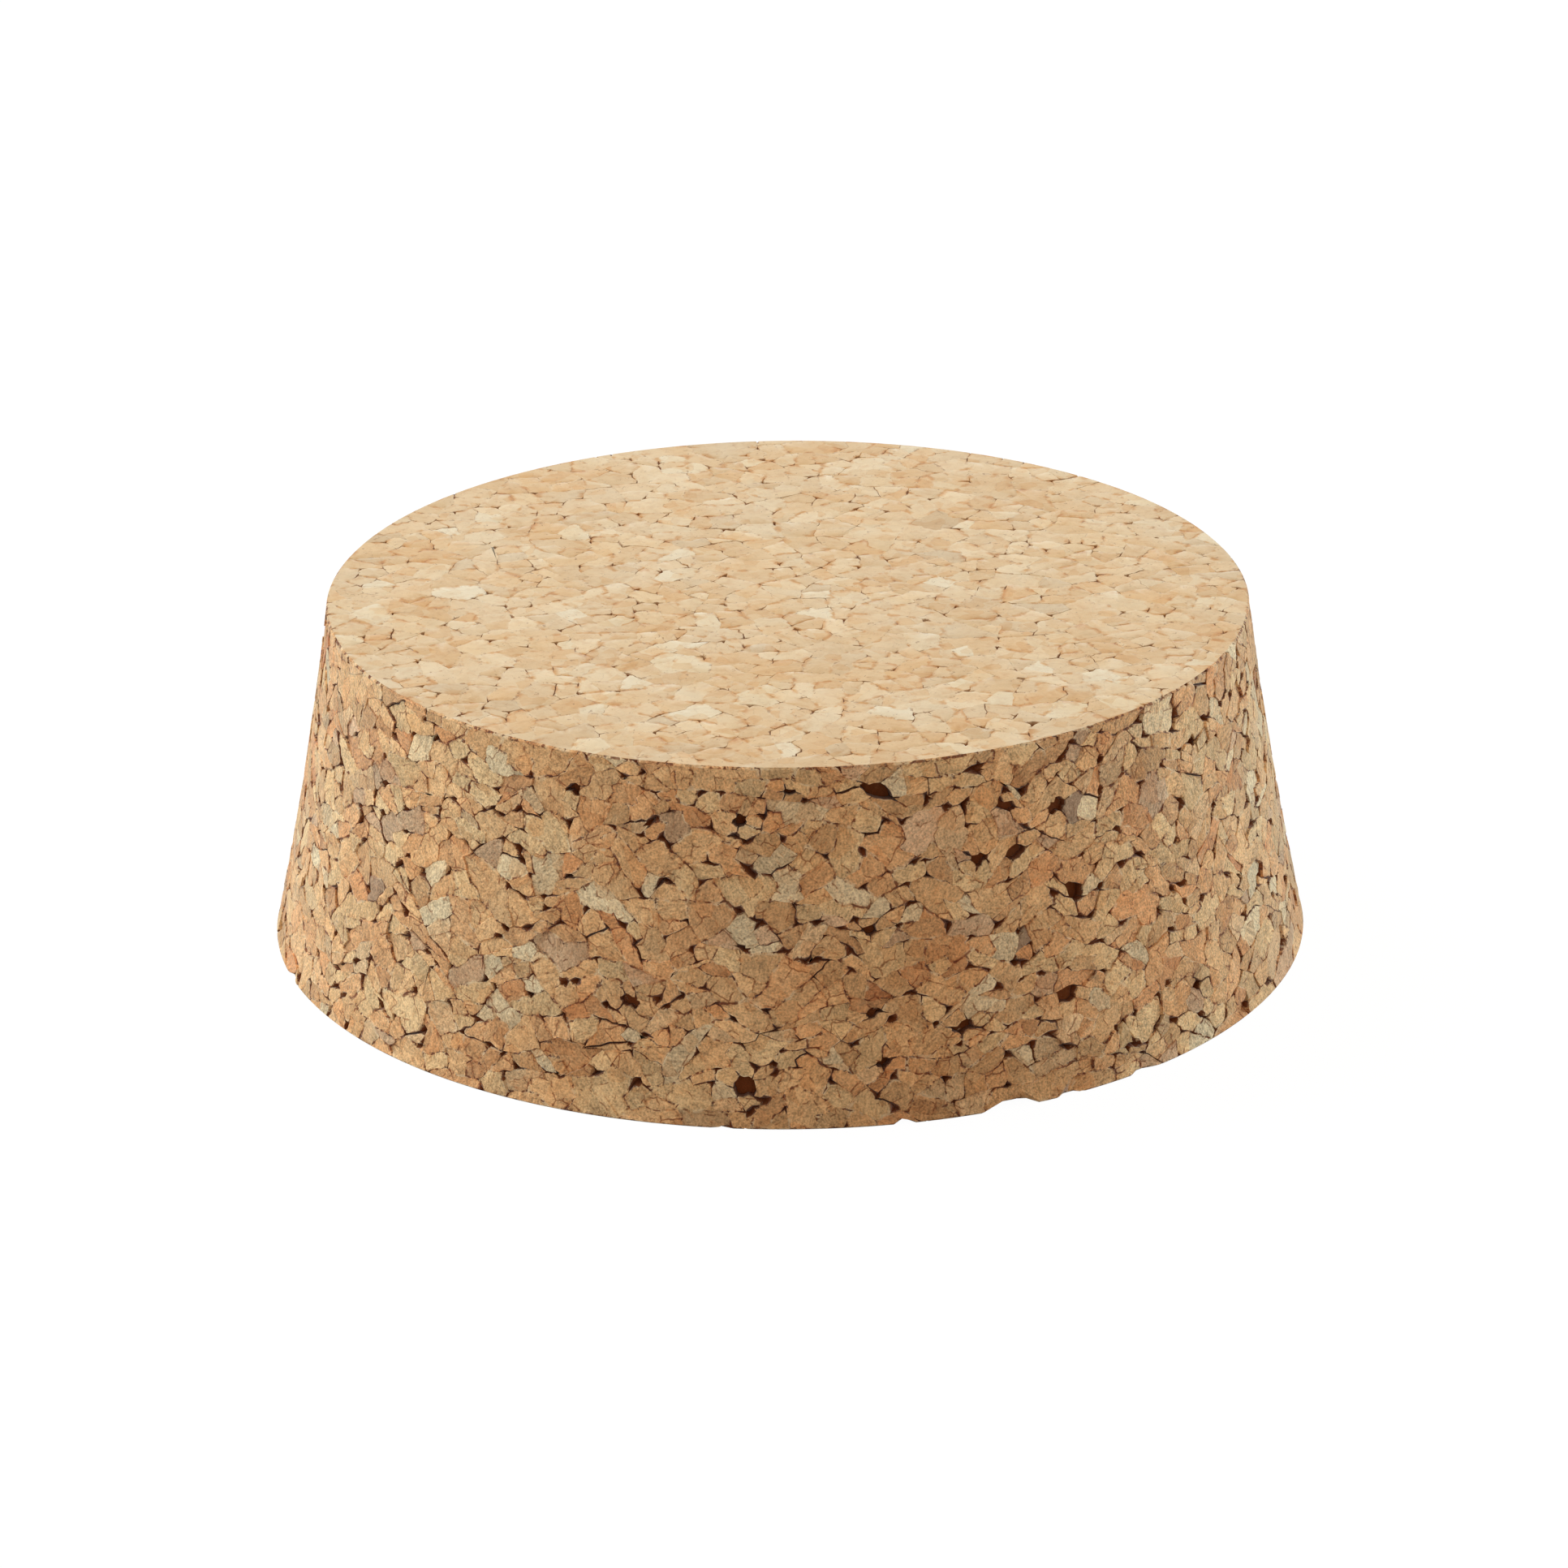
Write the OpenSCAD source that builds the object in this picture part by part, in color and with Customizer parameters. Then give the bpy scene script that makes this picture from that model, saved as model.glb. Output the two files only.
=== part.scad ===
// Tapered stopper pressed from cork granules, for the neck of a wide jar.
// It stands on its wide end at z = 0, with the narrow end up.
// Pits and chips show where granules fell out or never met.

/* [Body] */
// Diameter of the wide end
base_d = 60; // [54:0.5:90]
// Diameter of the narrow end, which goes into the jar
top_d = 53; // [40:0.5:58]
// Height from end to end
height = 20; // [14:0.5:50]
// How far the ground wall is hollowed at mid height
wall_hollow = 0.2; // [0.05:0.05:0.5]
// Width of the edge that is rubbed off the wide rim
base_rim_break = 0.3; // [0.1:0.05:0.8]
// Width of the edge that is rubbed off the narrow rim
top_rim_break = 0.25; // [0.1:0.05:0.8]

/* [Granules] */
// Typical width of a cork granule
granule_w = 1.6; // [1:0.1:2.4]
// Depth of the pit that a lost granule leaves
lost_depth = 0.8; // [0.3:0.05:1.2]
// Depth of the gaps between granules in the ground wall
gap_depth = 0.6; // [0.2:0.05:1]
// Distance between the larger gaps on the ground wall
gap_pitch = 4.65; // [4:0.05:8]
// Depth of the gaps in the sliced ends
end_gap_depth = 0.35; // [0.1:0.05:0.8]
// Distance between the gaps in the sliced ends
end_gap_pitch = 8; // [6:0.1:12]
// Height of the chips in the wide rim
chip_h = 0.9; // [0.4:0.05:2]

/* [Hidden] */
$fn = 180;

// How far every cut runs past the surface that it opens
overrun = 1;
// Straight bands that follow the hollow of the wall, each a true cone
wall_bands = 4;

base_r = base_d / 2;
top_r = top_d / 2;

// The wall follows an arc through both rims, hollowed at mid height
chord_dx = base_r - top_r;
chord = sqrt(chord_dx * chord_dx + height * height);
hollow_r = chord * chord / (8 * wall_hollow) + wall_hollow / 2;
hollow_reach_share = (hollow_r - wall_hollow) / chord;
hollow_x = (base_r + top_r) / 2 + height * hollow_reach_share;
hollow_z = height / 2 + chord_dx * hollow_reach_share;

// Pits of lost granules: angle round the axis, then the height as a share of the wall's,
// then width and height as shares of a granule
lost_granule_shares = [
    [296, 0.85, 0.95, 0.75],
    [244, 0.90, 0.65, 0.80],
    [289, 0.25, 0.90, 0.55],
    [281, 0.94, 1.00, 0.60],
    [303, 0.81, 0.90, 0.60],
    [265, 0.12, 0.85, 0.80],
    [302, 0.28, 0.60, 0.75],
    [279, 0.32, 0.70, 0.65],
    [252, 0.34, 0.75, 0.70],
    [297, 0.71, 0.70, 0.85],
    [292, 0.71, 0.65, 0.80],
    [305, 0.57, 0.65, 0.80],
    [280, 0.18, 0.55, 0.70],
    [270, 0.94, 0.55, 0.65],
    [279, 0.55, 0.60, 0.65],
    [321, 0.18, 0.60, 0.55],
    [327, 0.84, 0.50, 0.50],
    [264, 0.86, 0.75, 0.40]
];

// Chips in the wide rim: angle, then width and depth as shares of a granule
rim_chip_shares = [
    [197, 0.9, 0.25],
    [263, 0.5, 0.25],
    [282, 0.7, 0.50],
    [294, 2.1, 0.70],
    [301, 0.8, 0.28],
    [311, 1.2, 0.28]
];

// Outline of a lost granule: corners, and how far each may draw in
lost_corners = 5;
lost_play_share = 0.3;

// Outline of a gap between three round granules: the waist between its points,
// how far each corner may draw in, and how squat a gap is in the wall and in the ends
gap_points = 3;
gap_waist_share = 0.45;
gap_play_share = 0.35;
wall_squat_share = 0.75;
end_squat_share = 1;

// Least and greatest width of a gap in the wall and in the ends, as shares of a granule
wall_gap_shares = [0.4, 0.8];
end_gap_shares = [0.25, 0.5];

// How far a gap may stray from its place in the row, as a share of the space it has
stray_share = 0.6;
lost_seed = 3;
gap_seed = 100;
top_seed = 500;
base_seed = 700;
// Random numbers that one gap takes
gap_draws = 4 + 2 * gap_points;

gap_rows = floor(height / gap_pitch);
gap_cols = floor(PI * (base_r + top_r) / gap_pitch);

// Turn between one gap of a sliced end and the next, which spreads them evenly
golden_turn = 180 * (3 - sqrt(5));
// The middle of each end, where the first gap would lie, stays whole
first_end_gap = 1;

// Radius of the wall at a height
function wall_r(z) = hollow_x - sqrt(hollow_r * hollow_r - pow(hollow_z - z, 2));

// How far the wall faces up at a height, in degrees
function wall_tilt(z) = asin((hollow_z - z) / hollow_r);

// A corner of an outline: the turn it stands at, with its reach across and up
function corner(turn, across, up) = [across * cos(turn), up * sin(turn)];

// A value between the two of a pair
function between(pair, share) = pair[0] + (pair[1] - pair[0]) * share;

// Half of the section, with the hollowed wall and both rims rubbed off
module section() {
    difference() {
        polygon([
            [0, 0],
            for (band = [0 : wall_bands]) let (z = height * band / wall_bands) [wall_r(z), z],
            [0, height]
        ]);
        rim_corner(base_r, 0, 1, base_rim_break);
        rim_corner(top_r, height, -1, top_rim_break);
    }
}

// Corner of the section that is rubbed off a rim; side points into the body
module rim_corner(r, z, side, rim_break) {
    reach = rim_break + overrun;
    polygon([
        [r - rim_break - overrun, z - side * overrun],
        [r + reach, z - side * overrun],
        [r + reach, z + side * reach],
        [r + overrun, z + side * reach]
    ]);
}

// Places a child on the wall, with X round the axis, Y up the wall and Z out of it
module on_wall(angle, z) {
    rotate(angle) translate([wall_r(z), 0, z])
        rotate([0, 90 - wall_tilt(z), 0]) rotate(90) children();
}

// Cuts an outline into a surface at z = 0
module sunk(depth) {
    translate([0, 0, -depth]) linear_extrude(depth + overrun) children();
}

// Outline of a lost granule, with an uneven corner for each draw
module lost_outline(w, h, draws) {
    polygon([for (k = [0 : lost_corners - 1])
        corner(360 * k / lost_corners, w / 2, h / 2) * (1 - lost_play_share * draws[k])]);
}

// Outline of a gap, turned and squat: points that reach out between round granules,
// with waists between them
module gap_outline(w, squat_share, turn, draws) {
    corners = 2 * gap_points;
    polygon([for (k = [0 : corners - 1])
        corner(turn + 360 * k / corners, w / 2, w / 2 * squat_share)
            * (1 - gap_play_share * draws[k]) * (k % 2 == 0 ? 1 : gap_waist_share)]);
}

// Pits in the wall where whole granules are missing
module lost_granules() {
    for (k = [0 : len(lost_granule_shares) - 1]) {
        pit = lost_granule_shares[k];
        draws = rands(0, 1, lost_corners + 1, lost_seed + k);
        on_wall(pit[0], pit[1] * height)
            sunk(lost_depth)
                rotate(360 * draws[lost_corners] / lost_corners)
                    lost_outline(pit[2] * granule_w, pit[3] * granule_w, draws);
    }
}

// Gaps between the granules of the wall, in staggered rows that each gap strays from
module wall_gaps() {
    for (row = [0 : gap_rows - 1], col = [0 : gap_cols - 1]) {
        draws = rands(0, 1, gap_draws, gap_seed + row * gap_cols + col);
        across = col + (row % 2) / 2 + stray_share * (draws[0] - 0.5);
        up = row + 0.5 + stray_share * (draws[1] - 0.5);
        on_wall(360 * across / gap_cols, height * up / gap_rows)
            sunk(gap_depth)
                gap_outline(between(wall_gap_shares, draws[3]) * granule_w, wall_squat_share,
                            360 * draws[2], [for (k = [4 : gap_draws - 1]) draws[k]]);
    }
}

// Gaps in a sliced end of radius r, which lies at z = 0 with its face up
module end_gaps(r, seed) {
    count = floor(PI * r * r / (end_gap_pitch * end_gap_pitch));
    for (k = [first_end_gap : count - 1]) {
        draws = rands(0, 1, gap_draws, seed + k);
        out = (r - granule_w) * sqrt(k / count);
        rotate(golden_turn * k) translate([out, 0, 0])
            sunk(end_gap_depth)
                gap_outline(between(end_gap_shares, draws[3]) * granule_w, end_squat_share,
                            360 * draws[2], [for (n = [4 : gap_draws - 1]) draws[n]]);
    }
}

// Chips in the wide rim, between the rounded ends of granules
module rim_chips() {
    for (chip = rim_chip_shares) {
        w = chip[1] * granule_w;
        depth = chip[2] * granule_w;
        rotate(chip[0]) translate([base_r, 0, -overrun])
            linear_extrude(overrun + chip_h)
                polygon([[overrun, -w / 2], [0, -w / 2], [-depth, -w / 4],
                         [-depth, w / 4], [0, w / 2], [overrun, w / 2]]);
    }
}

// The whole stopper: one pressed and ground piece
module stopper() {
    color([0.80, 0.64, 0.45])
    difference() {
        rotate_extrude() section();
        lost_granules();
        wall_gaps();
        translate([0, 0, height]) end_gaps(top_r, top_seed);
        mirror([0, 0, 1]) end_gaps(base_r, base_seed);
        rim_chips();
    }
}

stopper();
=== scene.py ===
import math
import random
from itertools import combinations

import bpy
import numpy as np
from mathutils import Matrix, Vector, noise
from mathutils.geometry import convex_hull_2d, delaunay_2d_cdt


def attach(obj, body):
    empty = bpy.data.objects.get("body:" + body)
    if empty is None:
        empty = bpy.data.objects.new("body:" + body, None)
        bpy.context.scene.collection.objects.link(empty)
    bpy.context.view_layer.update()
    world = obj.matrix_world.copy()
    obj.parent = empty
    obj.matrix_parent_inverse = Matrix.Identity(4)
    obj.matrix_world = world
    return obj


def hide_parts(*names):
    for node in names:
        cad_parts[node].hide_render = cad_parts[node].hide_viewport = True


# A cork stopper: one tapered piece pressed from cork granules, ground round its wall and sliced at its ends

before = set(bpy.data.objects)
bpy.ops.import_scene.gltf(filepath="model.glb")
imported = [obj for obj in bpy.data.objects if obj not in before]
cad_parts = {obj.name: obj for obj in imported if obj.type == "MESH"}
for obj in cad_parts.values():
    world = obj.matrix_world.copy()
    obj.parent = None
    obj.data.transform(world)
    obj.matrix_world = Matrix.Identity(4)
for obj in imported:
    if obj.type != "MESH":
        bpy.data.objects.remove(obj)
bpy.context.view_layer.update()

# The frame is in metres. The granules are laid out in millimetres.
MM = 0.001
SEED = 19
scene = bpy.context.scene

# Camera: where it aims, how far it stands off, and its lens, fitted to the stopper's outline
AIM = (-0.295, 0.0, 8.24)
CAMERA_AWAY = 431.0
CAMERA_UP = math.radians(22.24)
CAMERA_ROLL = math.radians(-0.453)
LENS = 170.2

# Where the soft lights aim, and how wide they are
LIT = (0, 0, 0.01)
LIGHT_WIDE = 0.5
# Share of its glow that the floor shows the camera
FLOOR_GLOW = 0.92
# Faces that meet at less than this are shaded as one
SMOOTH = math.radians(30)

# Names of what the granules carry for the material
TINT = "granule_tint"
SHADE = "gap_shade"
FIBRES = "fibres"


def plain(colour):
    """A colour as a screen shows it, 0 to 255, made linear"""
    shares = (c / 255 for c in colour)
    return tuple(s / 12.92 if s <= 0.04045 else ((s + 0.055) / 1.055) ** 2.4 for s in shares)


# Granule colours with the share of granules that have each
WALL_TINTS = [
    ((233, 189, 138), 35),
    ((238, 202, 152), 21),
    ((229, 179, 128), 18),
    ((225, 169, 118), 4),
    ((226, 190, 146), 8),
    ((216, 180, 144), 5),
    ((241, 219, 180), 8),
    ((210, 148, 100), 0.5),
    ((176, 147, 121), 0.5),
]
END_TINTS = [
    ((229, 202, 163), 48),
    ((235, 212, 176), 24),
    ((227, 194, 149), 18),
    ((242, 226, 196), 5),
    ((221, 197, 162), 5),
]

# Most that a granule reflects of any colour
BRIGHTEST = 0.85

# How granules lie in the ground wall and in a sliced end, in millimetres or as shares. Each kind of gap
# has the least and greatest gape and drop, and a contact also those of its shade. Shade darkens towards
# the gap colour: the dark joints of hairlines, and in open slits and voids the cork's dark inside with
# painted shade.
WALL_LOOK = dict(
    apart=1.3, squat=1.55, clumps=(56, 28, 12, 4), tints=WALL_TINTS, levels=(0.8, 1.14), step=0.36,
    closed=0.87, slit=0.03,
    closed_gap=((0.02, 0.05), (0.002, 0.01), (0.0, 0.06)),
    hair_gap=((0.014, 0.034), (0.015, 0.05), (0.05, 0.35)),
    slit_gap=((0.03, 0.08), (0.15, 0.35), (0.85, 1.0)),
    void=0.29, void_gap=((0.06, 0.28), (0.15, 0.5)),
    notch=0.45, notch_gap=((0.04, 0.22), (0.05, 0.25)),
    sunk=0.016, tilt=0.034, finish=0)
TOP_LOOK = dict(
    apart=1.3, squat=1.0, clumps=(60, 30, 8, 2), tints=END_TINTS, levels=(0.955, 1.04), step=0.36,
    closed=0.85, slit=0.015,
    closed_gap=((0.02, 0.05), (0.0, 0.002), (0.0, 0.05)),
    hair_gap=((0.012, 0.03), (0.005, 0.02), (0.05, 0.3)),
    slit_gap=((0.03, 0.06), (0.06, 0.15), (0.7, 1.0)),
    void=0.26, void_gap=((0.03, 0.13), (0.05, 0.2)),
    notch=0.3, notch_gap=((0.03, 0.12), (0.02, 0.12)),
    sunk=0.004, tilt=0.004, finish=1)
BASE_LOOK = dict(TOP_LOOK, apart=1.5, step=0.6)

# How far the rubbed rims are drawn out towards sharp corners
CRISP = 0.65

# Seeds: how many for each square of the spacing, their room as shares of it, how many spacings past
# an edge they are mirrored, and how near corners become one
CROWD = 0.9
ROOM = (0.35, 0.95)
MIRRORED = 6
MERGED = 1e-7
# Least length to divide by
TINY = 1e-6

# Layers of granules in the wall: how far they climb and dip, how wide and high a sway is, how near
# a rim it dies out, and in how many rounds a spot is found under it
SWAY = 1.3
SWAY_WIDE = 3.0
SWAY_HIGH = 4.5
SWAY_RIM = 2.5
SWAY_ROUNDS = 4

# Least share of its convex outline that a granule fills, and how far chance changes a neighbour's rank
CONVEX = 0.86
RANK_CHANCE = (0.75, 1.25)

# How far a line's points wander, and the most points on one
WANDER = 0.24
MOST_POINTS = 4
# Junctions drawn towards a straight run: their share, where on the run they aim, and how far they go
STRAIGHT = 0.85
STRAIGHT_FOOT = (0.15, 0.85)
STRAIGHT_REACH = (0.6, 0.95)

# Contacts: the share of points that close up, how uneven the gape is, how far the shade fades, and
# the shade of a notch in a rim
CLOSED_UP = 0.35
UNEVEN = (0.6, 1.4)
FADED = (0.4, 1.0)
NOTCH_SHADE = (0.4, 0.9)

# Voids: how wide the places are where they gather, how much likelier they are there, how far small
# ones outnumber large ones, and how uneven they are
GATHER = 4.0
GATHERED = 1.1
VOID_SKEW = 1.5
VOID_UNEVEN = (0.55, 1.3)
# Arms of a void along the lines that meet in it: their strengths, their reach, alone and for its gape,
# and how fast they get deep and darkened with painted shade
ARMS = (0.1, 0.1, 0.4, 1.0)
ARM_REACH = 0.3
ARM_GAPE = 2
ARM_DROP = 1.3
ARM_SHADE = 2.5
# Gape and drop of a gap of the CAD stopper as shares of its width and depth
GAP_GAPE = 0.26
GAP_DROP = 0.9

# Granules round a lost one: least and most, how far they stray round it, and how far out they stand
# and their room as shares of its width
LOST_RING = (4, 6)
LOST_TURN = 0.3
LOST_OUT = (0.5, 1.15)
LOST_ROOM = 0.5
# Depth and shade of a lost granule's floor, and gape, drop and shade of its edge: both shades darken
# the pit, partly the cork's dark inside and partly painted shade down in it
LOST_FLOOR = (0.4, 0.7)
LOST_SHADE = (0.3, 0.75)
LOST_EDGE = 0.05
LOST_EDGE_SHADE = 0.9
# Points along each line round a lost granule, and how far they wander as a share of the line
RAGGED = 2
RAGGED_WANDER = 0.16

# Facets: the widest inset as a share of the granule, along a rim as a share of the way to the next
# point, and the limit on how far a sharp corner draws in
WIDEST = 0.25
RIM_WIDEST = 0.4
MITRE = 0.5
# Shade of a granule's middle, where its edge has 0 and the bottom of a gap 1, and of the whole facet
# of one too crooked to have a middle
INNER = -1.0
CROOKED = -0.3
# Where a better middle is looked for, as shares of the way from the middle to the corners
HUB_TRIES = (0.2, 0.4, 0.6)

# Chips in the wide rim: how high and far in they reach, half the least width in degrees, how far in
# and up they draw as shares of their depth, their shade, and the least shade that they change
CHIP_HIGH = 1.4
CHIP_FAR = 2.2
CHIP_LEAST = 0.35
CHIP_IN = 0.6
CHIP_UP = 0.2
CHIP_SHADE = 0.7
CHIP_SHADED = 0.05

# How steeply a pit of an end faces up or down, how far apart the fibres of granules are taken from,
# and where those of the rims lie: the way round for each radian, and the sides of a patch
FACING = 0.7
FIBRES_APART = 50
RIM_FIBRES = 29.0
RIM_PATCH = (0.2, 0.3)


def eased(share):
    """A share from 0 to 1 that starts and ends gently"""
    return share * share * (3 - 2 * share)


def way(p, q):
    """How far it is from p to q, across and up"""
    return q[0] - p[0], q[1] - p[1]


def edges_of(loop):
    """Each item of a loop with the next"""
    return zip(loop, loop[1:] + loop[:1])


def area_of(loop):
    """Area inside a loop of points"""
    return 0.5 * abs(sum(p[0] * q[1] - q[0] * p[1] for p, q in edges_of(loop)))


def turns_left(p, q, middle):
    """Whether the way from p to q to the middle turns left"""
    return (q[0] - p[0]) * (middle[1] - p[1]) > (q[1] - p[1]) * (middle[0] - p[0])


def polar(points):
    """Radii of some points, and their turns in degrees"""
    x, y = points[:, 0], points[:, 1]
    return np.hypot(x, y), np.degrees(np.arctan2(y, x)) % 360


class CadStopper:
    """What the granules take from the CAD stopper: its profile, its pits and its chipped rim"""

    # Least corners of a ring edge, and how nearly they lie on it
    ring_corners = 60
    nearly = 0.01
    # Depth past which a face is the floor of a pit, and past which the pit is that of a lost granule
    deep = 0.25
    lost = 0.7
    # How flush with the base a chip's corners lie, their least and greatest inset, and how near and alike
    # two of one chip are
    flush = 0.001
    chip_inset = (0.04, 0.85)
    chip_turn = 4
    chip_alike = 0.02

    def __init__(self, node):
        mesh = node.data
        corners = np.empty(len(mesh.vertices) * 3)
        mesh.vertices.foreach_get("co", corners)
        self.corners = corners.reshape(-1, 3) / MM
        self.radii, self.turns = polar(self.corners)
        self.read_profile()
        self.read_pits(mesh)
        self.read_chips()
        self.sharpen_rims()

    def read_profile(self):
        """Heights and radii of the ring edges, from the base up"""
        heights = np.round(self.corners[:, 2], 3)
        rings = []
        for z in np.unique(heights):
            radii = self.radii[heights == z]
            if np.sum(radii > radii.max() - self.nearly) >= self.ring_corners:
                rings.append((z, radii.max()))
        self.z, self.r = np.array(rings).T

    def read_pits(self, mesh):
        """Middle, width, depth and facing of each pit floor"""
        wall = np.interp(self.corners[:, 2], self.z, self.r) - self.radii
        ends = np.minimum(self.corners[:, 2] - self.z[0], self.z[-1] - self.corners[:, 2])
        depths = np.minimum(wall, ends)
        keys = [tuple(c) for c in np.round(self.corners, 3)]
        group = {}

        def root(key):
            while group.setdefault(key, key) != key:
                key = group[key]
            return key

        facing = {}
        for face in mesh.polygons:
            if all(depths[v] > self.deep for v in face.vertices):
                first, *others = [root(keys[v]) for v in face.vertices]
                for other in others:
                    group[root(other)] = root(first)
                facing[keys[face.vertices[0]]] = face.normal.z
        floors = {}
        for key in group:
            floors.setdefault(root(key), []).append(key)
        depth_at = dict(zip(keys, depths))
        self.pits = []
        for floor in floors.values():
            points = np.array(floor)
            middle = points.mean(0)
            width = 2 * np.linalg.norm(points - middle, axis=1).max()
            up = np.mean([facing[k] for k in floor if k in facing])
            self.pits.append((middle, width, depth_at[floor[0]], up))

    def read_chips(self):
        """Start, end and depth of each chip in the wide rim, from its deep corners"""
        low = self.corners[:, 2] < self.z[0] + self.flush
        inset = self.r[0] - self.radii
        least, greatest = self.chip_inset
        chipped = low & (inset > least) & (inset < greatest)
        pairs = zip(self.turns[chipped], inset[chipped])
        found = sorted({(round(t, 2), round(d, 3)) for t, d in pairs})
        self.chips = []
        for turn, depth in found:
            depth += self.r[1] - self.r[0]
            start, end, last = self.chips[-1] if self.chips else (turn, -math.inf, depth)
            if turn - end < self.chip_turn and abs(depth - last) < self.chip_alike:
                self.chips[-1] = (start, turn, depth)
            else:
                self.chips.append((turn, turn, depth))

    def sharpen_rims(self):
        """Draws both rubbed rims out towards sharp corners"""
        for end, side, beyond in ((0, 1, 2), (-1, -2, -3)):
            slope = (self.r[side] - self.r[beyond]) / (self.z[side] - self.z[beyond])
            corner = self.r[side] + slope * (self.z[end] - self.z[side])
            self.r[side] += CRISP * (corner - self.r[side])
            self.z[side] += CRISP * (self.z[end] - self.z[side])
            self.r[end] += CRISP * (corner - self.r[end])


class Wall:
    """The ground wall unrolled: x runs round the stopper, y up the wall"""

    def __init__(self, cad, look):
        self.look = look
        self.z = cad.z[1:-1]
        self.r = cad.r[1:-1]
        steps = np.hypot(np.diff(self.z), np.diff(self.r))
        self.up = np.concatenate([[0.0], np.cumsum(steps)])
        self.wide = math.tau * self.r.mean()
        self.high = self.up[-1] * look["squat"]
        rise = self.z[-1] - self.z[0]
        run = self.r[0] - self.r[-1]
        self.out = rise / math.hypot(rise, run)
        self.lean = run / math.hypot(rise, run)
        self.size = self.wide * self.high

    def random_spot(self, draw):
        return draw.uniform(0, self.wide), draw.uniform(0, self.high)

    def holds(self, p):
        return 0 < p[1] < self.high

    def apart(self, p, q):
        dx = abs(p[0] - q[0])
        return math.hypot(min(dx, self.wide - dx), p[1] - q[1])

    def sway(self, x, y):
        """How far the layers of granules have climbed or dipped at a spot of the wall"""
        turn = x / self.wide * math.tau
        out = self.wide / math.tau / SWAY_WIDE
        inside = min(1.0, max(0.0, min(y, self.up[-1] - y) / SWAY_RIM))
        place = Vector((out * math.cos(turn), out * math.sin(turn), y / SWAY_HIGH))
        return SWAY * eased(inside) * noise.noise(place)

    def unrolled(self, point):
        """Where a point of the frame lies in the layout"""
        x = math.atan2(point[1], point[0]) % math.tau / math.tau * self.wide
        up = float(np.interp(point[2], self.z, self.up))
        y = up
        for _ in range(SWAY_ROUNDS):
            y = up - self.sway(x, y)
        return x, y * self.look["squat"]

    def images(self, p, reach):
        """The spot mirrored at the rims and repeated past the seam, with the rim of each"""
        x, y = p
        found = [(x, y, 0)]
        if y < reach:
            found.append((x, -y, 1))
        if self.high - y < reach:
            found.append((x, 2 * self.high - y, 2))
        shifts = [0]
        if x < reach:
            shifts.append(self.wide)
        if self.wide - x < reach:
            shifts.append(-self.wide)
        return [((fx + s, fy), rim) for s in shifts for fx, fy, rim in found]

    def settle(self, p, rim):
        """A corner of the layout in real millimetres, put exactly on its rim"""
        x = p[0] % self.wide
        y = {0: p[1], 1: 0.0, 2: self.high}[rim] / self.look["squat"]
        return x, y + self.sway(x, y)

    def beside(self, p, q):
        """The image of p that lies nearest to q"""
        return p[0] - self.wide * round((p[0] - q[0]) / self.wide), p[1]

    def on_rim(self, p):
        return p

    def place(self, spots, rise):
        """Points of the frame for spots of the layout, raised out of the wall"""
        turn = spots[:, 0] / self.wide * math.tau
        r = np.interp(spots[:, 1], self.up, self.r) + rise * self.out
        z = np.interp(spots[:, 1], self.up, self.z) + rise * self.lean
        return np.stack([r * np.cos(turn), r * np.sin(turn), z], 1)


class End:
    """A sliced end: the layout is the end itself, seen from outside"""

    wide = None

    def __init__(self, cad, look, upper):
        self.look = look
        self.flip = 1 if upper else -1
        self.z = cad.z[-1] if upper else cad.z[0]
        self.r = cad.r[-1] if upper else cad.r[0]
        self.size = math.pi * self.r ** 2

    def random_spot(self, draw):
        out = self.r * math.sqrt(draw.random())
        turn = draw.uniform(0, math.tau)
        return out * math.cos(turn), out * math.sin(turn)

    def holds(self, p):
        return math.hypot(*p) < self.r

    def apart(self, p, q):
        return math.hypot(*way(p, q))

    def unrolled(self, point):
        return float(point[0]), float(point[1] * self.flip)

    def images(self, p, reach):
        found = [(p, 0)]
        out = math.hypot(*p)
        if self.r - out < reach:
            far = 2 * self.r / out - 1
            found.append(((p[0] * far, p[1] * far), 1))
        return found

    def settle(self, p, rim):
        return self.on_rim(p) if rim else p

    def beside(self, p, q):
        return p

    def on_rim(self, p):
        out = self.r / math.hypot(*p)
        return p[0] * out, p[1] * out

    def place(self, spots, rise):
        return np.stack([spots[:, 0], spots[:, 1] * self.flip, self.z + rise * self.flip], 1)


def scatter(face, draw, fixed):
    """Seeds strewn over a face, each with some room of its own, the fixed ones first"""
    largest = face.look["apart"]
    count = int(face.wide / largest) if face.wide else 0
    pitch = face.wide / count if face.wide else largest
    buckets = {}
    seeds = []

    def bucket(p):
        return math.floor(p[0] / pitch), math.floor(p[1] / largest)

    def around(p):
        bx, by = bucket(p)
        for dx in (-1, 0, 1):
            for dy in (-1, 0, 1):
                x = (bx + dx) % count if count else bx + dx
                yield from buckets.get((x, by + dy), ())

    def keep(p, room):
        seeds.append(p)
        buckets.setdefault(bucket(p), []).append((p, room))

    for p, room in fixed:
        keep(p, room)
    wanted = CROWD * face.size / largest ** 2
    while len(seeds) < wanted:
        p = face.random_spot(draw)
        room = largest * draw.uniform(*ROOM)
        if all(face.apart(p, q) > (room + other) / 2 for q, other in around(p)):
            keep(p, room)
    return seeds


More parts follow.
